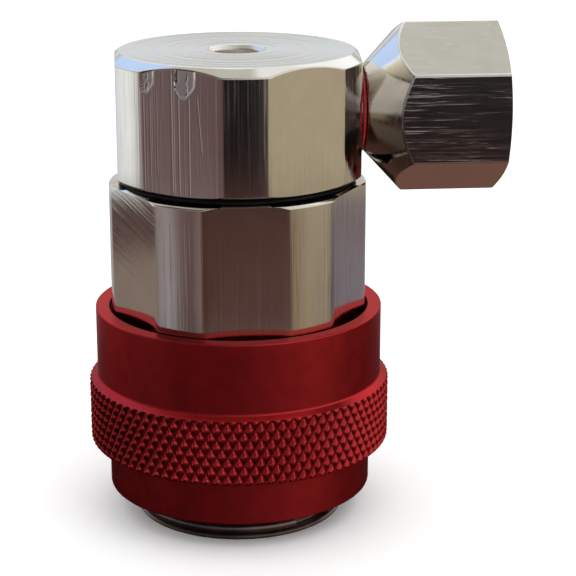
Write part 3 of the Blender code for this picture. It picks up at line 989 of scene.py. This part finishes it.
def make_head(flats, turned_face, bore):
    """Upper hexagon, its blind centre hole, the threaded spigot and the gas passage."""
    side, face, inner = range(3)
    outline = eased(
        [
            (PASSAGE_R, SPIGOT_Z + COUNTERBORE_DEPTH, inner),
            (COUNTERBORE_R, SPIGOT_Z + COUNTERBORE_DEPTH, inner),
            (COUNTERBORE_R, SPIGOT_Z, inner),
            (SPIGOT_R - 0.3, SPIGOT_Z, inner),
            (SPIGOT_R, SPIGOT_Z + 0.3, inner),
            (SPIGOT_R, HEAD_Z0, inner),
            (HEAD_R - HEAD_FOOT_IN, HEAD_Z0, side),
            (HEAD_R, HEAD_Z0 + HEAD_FOOT_UP, side),
            (HEAD_R, HEAD_Z1 - HEAD_CHAMFER_DOWN, face),
            (HEAD_R - HEAD_CHAMFER_IN, HEAD_Z1, face),
            (CENTRE_HOLE_R + CENTRE_HOLE_CHAMFER, HEAD_Z1, inner),
            (CENTRE_HOLE_R, HEAD_Z1 - CENTRE_HOLE_CHAMFER, inner),
            (CENTRE_HOLE_R, HEAD_Z1 - CENTRE_HOLE_DEPTH, inner),
            (AT_AXIS, HEAD_Z1 - CENTRE_HOLE_DEPTH - DRILL_POINT, inner),
            (AT_AXIS, SOCKET_Z / MM + FLOW_R + 0.6, inner),
            (PASSAGE_R, SOCKET_Z / MM + FLOW_R, inner),
        ],
        radius=0.1,
    )

    def step_for(start, end):
        low, high = sorted((start[1], end[1]))
        outside = min(start[0], end[0]) > HEAD_FLATS / 2 - 0.6 and low > HEAD_Z0 - 0.01
        on_side = outside and low > HEAD_Z0 + HEAD_FOOT_UP - 0.01 and high < HEAD_Z1 - 0.8
        on_top = low > HEAD_Z1 - 0.001 and abs(end[0] - start[0]) > 5
        if on_side or on_top:
            return 0.06
        return 0.05 if outside else None

    outline = refined(outline, step_for)
    outline = [(r, z + facing_rings(r) if z > HEAD_Z1 - 0.001 else z, f) for r, z, f in outline]

    def shaped(radius, angle, height):
        cut = hexagonal(radius, angle, HEAD_FLATS, 0)
        cut = np.where(height > HEAD_Z0 - 1, cut, radius)
        turn = (angle - math.radians(MARKED_FLAT) + math.pi) % (2 * math.pi) - math.pi
        across = HEAD_FLATS / 2 * np.tan(np.clip(turn, -0.6, 0.6))
        down = HEAD_Z1 - 0.27 - height
        on_flat = step_up(radius - cut, 0.02, 0.12) * (np.abs(turn) < 0.42) * (height > HEAD_Z0)
        marks = np.maximum(bite_depth(across, down), drag_depth(across, down))
        on_corner = (np.abs(radius - HEAD_R) < 0.01) & (height > HEAD_Z0)
        lines = np.where(on_corner, corner_depth(angle % (2 * math.pi), down), 0)
        return cut - on_flat * marks - lines

    dense_from = MARKED_FLAT - 23  # finer steps over the marked flat and the corner beside it
    dense_to = MARKED_FLAT + 40
    coarse = [a for a in np.arange(-180, 180, 0.5) if a < dense_from or a > dense_to]
    dense = list(np.arange(dense_from, dense_to, 0.16))
    head = turned("head", outline, sorted(coarse + dense), COUPLING_AXIS, shaped)
    dress(head, flats, turned_face, bore)
    bored = [
        (FLOW_R, 0.6, 0),
        (FLOW_R, STUB_SEAT_X, 0),
        (STUB_HOLE_R, STUB_SEAT_X, 0),
        (STUB_HOLE_R, HEAD_R + 1.45, 0),
    ]
    carve(head, turned("side_bore", bored, 96, SOCKET_AXIS, closed=False))
    finish_flat(head, HEAD_FLATS, 0, side)
    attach(head, "coupler")
    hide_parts("upper_head")


def make_head_o_ring(black):
    """The seal between the hexagons, squashed into an oval."""
    high = HEAD_Z0 - 0.02
    low = BODY_TOP + 0.02
    half = (high - low) / 2
    outline = []
    for k in range(24):
        a = 2 * math.pi * k / 24
        outline.append((SEAL_R + SEAL_HALF_WIDTH * math.cos(a), low + half + half * math.sin(a), 0))
    ring = turned("head_seal", outline, 240, COUPLING_AXIS)
    dress(ring, black)
    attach(ring, "coupler")
    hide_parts("head_o_ring")


def make_retaining_ring(dark):
    """The open wire ring that keeps the sleeve on the nose."""
    count = 160
    start = math.radians(RING_GAP_TO)
    sweep = math.radians(360 + RING_GAP_FROM - RING_GAP_TO)
    centres = []
    across = []
    for k in range(count + 1):
        a = start + sweep * k / count
        out = Vector((math.cos(a), math.sin(a), 0))
        centres.append(out * RING_R + Vector((0, 0, RING_Z)))
        across.append((out, Vector((0, 0, 1))))
    ring = swept("wire_ring", centres, across, RING_WIRE_R, 20, COUPLING_AXIS)
    dress(ring, dark)
    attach(ring, "coupler")
    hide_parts("retaining_ring")


def make_balls(steel):
    """The locking balls, each on a body of its own."""
    for k in range(BALL_COUNT):
        angle = math.radians(360 / BALL_COUNT * (k + 0.5))
        bm = bmesh.new()
        bmesh.ops.create_icosphere(bm, subdivisions=5, radius=BALL_R * MM)
        centre = Vector((BALL_AT_R * math.cos(angle), BALL_AT_R * math.sin(angle), BALL_Z)) * MM
        bmesh.ops.translate(bm, vec=COUPLING_AXIS @ centre, verts=bm.verts)
        mesh = bpy.data.meshes.new(f"ball_{k + 1}_polished")
        bm.to_mesh(mesh)
        bm.free()
        ball = finished(f"ball_{k + 1}_polished", mesh)
        dress(ball, steel)
        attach(ball, f"ball_{k + 1}")
        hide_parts(f"locking_ball_{k + 1}")


def make_spring(name, corners, sizes, steel, body, node):
    """A compression spring with closed ends, as high as the box between two corners.

    sizes is its mean radius, its wire's radius and its turns.
    """
    low, high = (corner[2] / MM for corner in corners)
    mean_r, wire_r, turns = sizes
    per_turn = 48
    count = turns * per_turn
    rise = high - low - 2 * wire_r
    closed = 2.1 * wire_r
    centres = []
    across = []
    for k in range(count + 1):
        turn = k / per_turn
        if turn < 1:
            up = closed * turn
        elif turn > turns - 1:
            up = rise - closed * (turns - turn)
        else:
            up = closed + (rise - 2 * closed) * (turn - 1) / (turns - 2)
        a = 2 * math.pi * turn
        out = Vector((math.cos(a), math.sin(a), 0))
        centres.append(out * mean_r + Vector((0, 0, low + wire_r + up)))
        across.append((out, Vector((0, 0, 1))))
    spring = swept(name, centres, across, wire_r, 14, COUPLING_AXIS)
    dress(spring, steel)
    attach(spring, body)
    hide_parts(node)
    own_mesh(spring)


# ---------------------------------------------------------------- pieces on the socket axis


MILLED_LINES = 60
CROSS_MARKS_DEPTH = 0.0013
CROSS_MARKS_PITCH = 0.36


def milled_depth(up, along):
    """Lines that milling left along the socket's front flat, and a patch of cross marks, in millimetres."""
    chance = np.random.default_rng(11)
    total = np.zeros_like(up)
    for _ in range(MILLED_LINES):
        here = chance.uniform(-4.5, 4.6)
        half_width = chance.uniform(0.06, 0.12)
        depth = chance.uniform(0.0005, 0.0025)
        start = 15 + 9 * chance.random() ** 3
        length = chance.uniform(5, 16)
        groove = np.clip(1 - np.abs(up - here) / half_width, 0, 1)
        total += depth * groove * step_up(along, start, 1.0) * step_up(-along, -start - length, 2.0)
    patch = step_up(-up, 1.6, 0.8) * step_up(along, 21.5, 2.0) * step_up(-along, -29.3, 0.6)
    waves = 1 - np.cos(2 * math.pi * along / CROSS_MARKS_PITCH)
    return total + CROSS_MARKS_DEPTH * patch * waves


def make_hose_socket(flats, turned_face, threads, milled):
    """The hexagonal socket with its conical back, its neck and its stub, and the thread in its bore."""
    side, face, inner, front = range(4)
    corner_r = SOCKET_FLATS / math.sqrt(3) + 0.3
    outline = eased(
        [
            (FLOW_R, STUB_END_X, inner),
            (STUB_R, STUB_END_X, inner),
            (STUB_R, NECK_X, face),
            (NECK_R, NECK_X, face),
            (corner_r, NECK_X + 0.92 * (corner_r - NECK_R), side),
            (corner_r, SOCKET_END_X - SOCKET_CHAMFER * (corner_r - SOCKET_FACE_R), face),
            (SOCKET_FACE_R, SOCKET_END_X, face),
            (THREAD_MINOR_R + THREAD_DEPTH + 0.1, SOCKET_END_X, inner),
            (THREAD_MINOR_R, SOCKET_END_X - 0.9, inner),
            (THREAD_MINOR_R, SOCKET_FLOOR_X, inner),
            (FLOW_R, SOCKET_FLOOR_X, inner),
        ],
        radius=0.08,
    )

    def step_for(start, end):
        r, z, finish = start
        if finish == inner and z > SOCKET_FLOOR_X + 1.0:
            return THREAD_PITCH / 12
        on_cone = r > NECK_R and z < SOCKET_FLOOR_X
        on_hexagon = r > NECK_R - 0.01 and z > NECK_X - 0.01 and end[0] > SOCKET_FACE_R - 0.5
        return 0.09 if on_cone or on_hexagon else None

    def shaped(radius, angle, height):
        cut = hexagonal(radius, angle, SOCKET_FLATS, 30, 0.15)
        turn = height / THREAD_PITCH - angle / (2 * math.pi)
        tooth = np.abs((turn % 1) - 0.5) * 2
        groove = np.clip((tooth - 0.12) / 0.76, 0, 1) * THREAD_DEPTH
        fade = np.clip((height - SOCKET_FLOOR_X - 1.6) / 0.6, 0, 1)
        threaded = (radius < THREAD_MINOR_R + 0.9) & (height > SOCKET_FLOOR_X + 0.5) & (radius > NECK_R)
        off_front = np.abs(angle % (2 * math.pi) - 1.5 * math.pi)
        up = -radius * np.cos(angle)
        milled_flat = step_up(radius - cut, 0.02, 0.1) * (off_front < math.radians(29.5)) * (radius > 8)
        cut = cut - milled_flat * milled_depth(cut * up / radius, height)
        return np.where(threaded, np.maximum(radius, THREAD_MINOR_R + groove * fade), cut)

    fine = list(np.arange(240, 300, 0.25))
    coarse = [a for a in range(360) if a < 240 or a >= 300]
    socket = turned("socket", refined(outline, step_for), sorted(coarse + fine), SOCKET_AXIS, shaped)
    for k in range(6):
        turn = math.radians(60 * k)
        outward = Vector((0, -math.cos(turn), math.sin(turn)))
        for polygon in socket.data.polygons:
            reach = (polygon.center - Vector((0, 0, SOCKET_Z))).dot(outward)
            if polygon.normal.dot(outward) > 0.97 and reach > (SOCKET_FLATS / 2 - 0.25) * MM:
                polygon.material_index = front if k == 0 else side
    dress(socket, flats, turned_face, threads, milled)
    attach(socket, "coupler")
    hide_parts("hose_socket")


def make_sealant(red):
    """A lumpy bead that fills the corner between the head's flat and the socket's neck."""
    rows = 20
    steps = 180
    middle_x = (HEAD_FLATS / 2 + NECK_X) / 2
    outline = []
    for k in range(rows):
        a = 2 * math.pi * k / rows
        outline.append((BEAD_R + 0.24 * math.cos(a), middle_x + 0.19 * math.sin(a), 0))

    def lumpy(radius, angle, height):
        swell = np.zeros_like(radius)
        for wave, amount in ((3, 0.25), (7, 0.2), (13, 0.15), (29, 0.1)):
            swell += amount * np.sin(wave * angle + wave * wave)
        rough = 0.25 * np.sin(61 * angle + height * 9) + 0.2 * np.sin(97 * angle - height * 13)
        outer = np.clip(radius - BEAD_R, 0, 1)
        return radius + outer * (0.2 + 0.8 * swell + rough)

    bead = turned("sealant_bead", outline, steps, SOCKET_AXIS, lumpy)
    dress(bead, red)
    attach(bead, "coupler")
    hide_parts("thread_sealant")


# ---------------------------------------------------------------- the whole coupler


def dress_inner_nodes(brass, black, steel, white):
    """The CAD pieces inside the coupler keep their shape and get their materials."""
    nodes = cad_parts
    for name in ("seal_carrier", "valve_pin", "spring_retainer"):
        dress(nodes[name], brass)
    for name in ("port_o_ring", "carrier_o_ring", "valve_seal"):
        dress(nodes[name], black)
    dress(nodes["spring_washer"], steel)
    dress(nodes["socket_gasket"], white)


make_camera()
make_floor()
make_surroundings()
make_light()

hex_nickel = nickel(
    "nickel_upright_brushing",
    brushed=(7000, 7000, 90),
    streaked=(2600, 2600, 40),
    depths=(1.8e-6, 8e-6),
    rough=(0.07, 0.15),
)
slanted_nickel = nickel(
    "nickel_slanted_brushing",
    brushed=(7000, 7000, 90),
    streaked=(2400, 2400, 60),
    depths=(1.0e-6, 0.8e-6),
    rough=(0.05, 0.1),
    slant=-72,
    heading=math.radians(SLANTED_FLAT),
)
bore_nickel = nickel(
    "nickel_bored",
    brushed=(900, 900, 6000),
    streaked=(500, 500, 2500),
    depths=(3e-6, 3e-6),
    rough=(0.3, 0.45),
)
socket_nickel = nickel(
    "nickel_drawn",
    brushed=(900, 3500, 3500),
    streaked=(500, 2600, 2600),
    depths=(1.2e-6, 0.8e-6),
    rough=(0.10, 0.18),
)
milled_nickel = nickel(
    "nickel_milled",
    brushed=(160, 6500, 6500),
    streaked=(160, 4200, 4200),
    depths=(2e-6, 2e-6),
    rough=(0.07, 0.12),
)
# painted shade: the socket's turned faces are painted darker from 5.5 mm above the socket's axis down to
# 2.5 mm below it
socket_face_nickel = nickel(
    "nickel_socket_turned_painted_shade",
    brushed=(3500, 500, 500),
    streaked=(1800, 300, 300),
    depths=(3e-6, 4e-6),
    rough=(0.08, 0.2),
    painted_shade_heights=(SOCKET_Z - 2.5 * MM, SOCKET_Z + 5.5 * MM),
)
thread_nickel = nickel(
    "nickel_thread",
    brushed=(900, 900, 900),
    streaked=(600, 600, 600),
    depths=(3e-6, 2e-6),
    rough=(0.2, 0.35),
)
face_nickel = turned_nickel("nickel_turned_rings", 0.00012, 1.6e-6, 0.09, 0.17)
red = anodised("red_anodised_satin", (0.50, 0.018, 0.022), (0.43, 0.014, 0.018), 0.26, 0.34, 2.0e-6)
red_knurl = anodised("red_anodised_knurl", (0.52, 0.024, 0.030), (0.42, 0.017, 0.022), 0.2, 0.3, 2.5e-6)
red_inside = anodised("red_anodised_inside", (0.36, 0.008, 0.011), (0.28, 0.006, 0.009), 0.3, 0.4, 2.5e-6)
steel = plain_metal("spring_steel", (0.55, 0.54, 0.52), 0.18, 0.32, 1.5e-6)
dark_steel = plain_metal("oiled_dark_steel", (0.20, 0.165, 0.15), 0.26, 0.38, 1.5e-6)
blackened = plain_metal("blackened_nose", (0.20, 0.16, 0.14), 0.3, 0.42, 1.5e-6)
brass = plain_metal("turned_brass", (0.78, 0.58, 0.28), 0.16, 0.3, 2e-6)
black = rubber("black_rubber")
white = plastic("white_seal_plastic", (0.82, 0.82, 0.79), 0.35, 0.5)
sealant = plastic("red_thread_sealant", (0.30, 0.008, 0.012), 0.25, 0.45)

make_body(hex_nickel, face_nickel, bore_nickel, slanted_nickel, blackened)
make_head(hex_nickel, face_nickel, bore_nickel)
make_head_o_ring(black)
make_hose_socket(socket_nickel, socket_face_nickel, thread_nickel, milled_nickel)
make_sealant(sealant)
make_sleeve(red, red_knurl, red_inside)
make_retaining_ring(dark_steel)
make_balls(steel)
dress_inner_nodes(brass, black, steel, white)

make_spring(
    "lock_spring",
    (SPRING_LOW, SPRING_HIGH),
    (SLEEVE_SPRING_R, SLEEVE_SPRING_WIRE_R, SLEEVE_SPRING_TURNS),
    steel,
    "spring_seat",
    "sleeve_spring",
)
make_spring(
    "pin_spring",
    (VALVE_SPRING_LOW, VALVE_SPRING_HIGH),
    (VALVE_SPRING_R, VALVE_SPRING_WIRE_R, VALVE_SPRING_TURNS),
    steel,
    "coupler",
    "valve_spring",
)
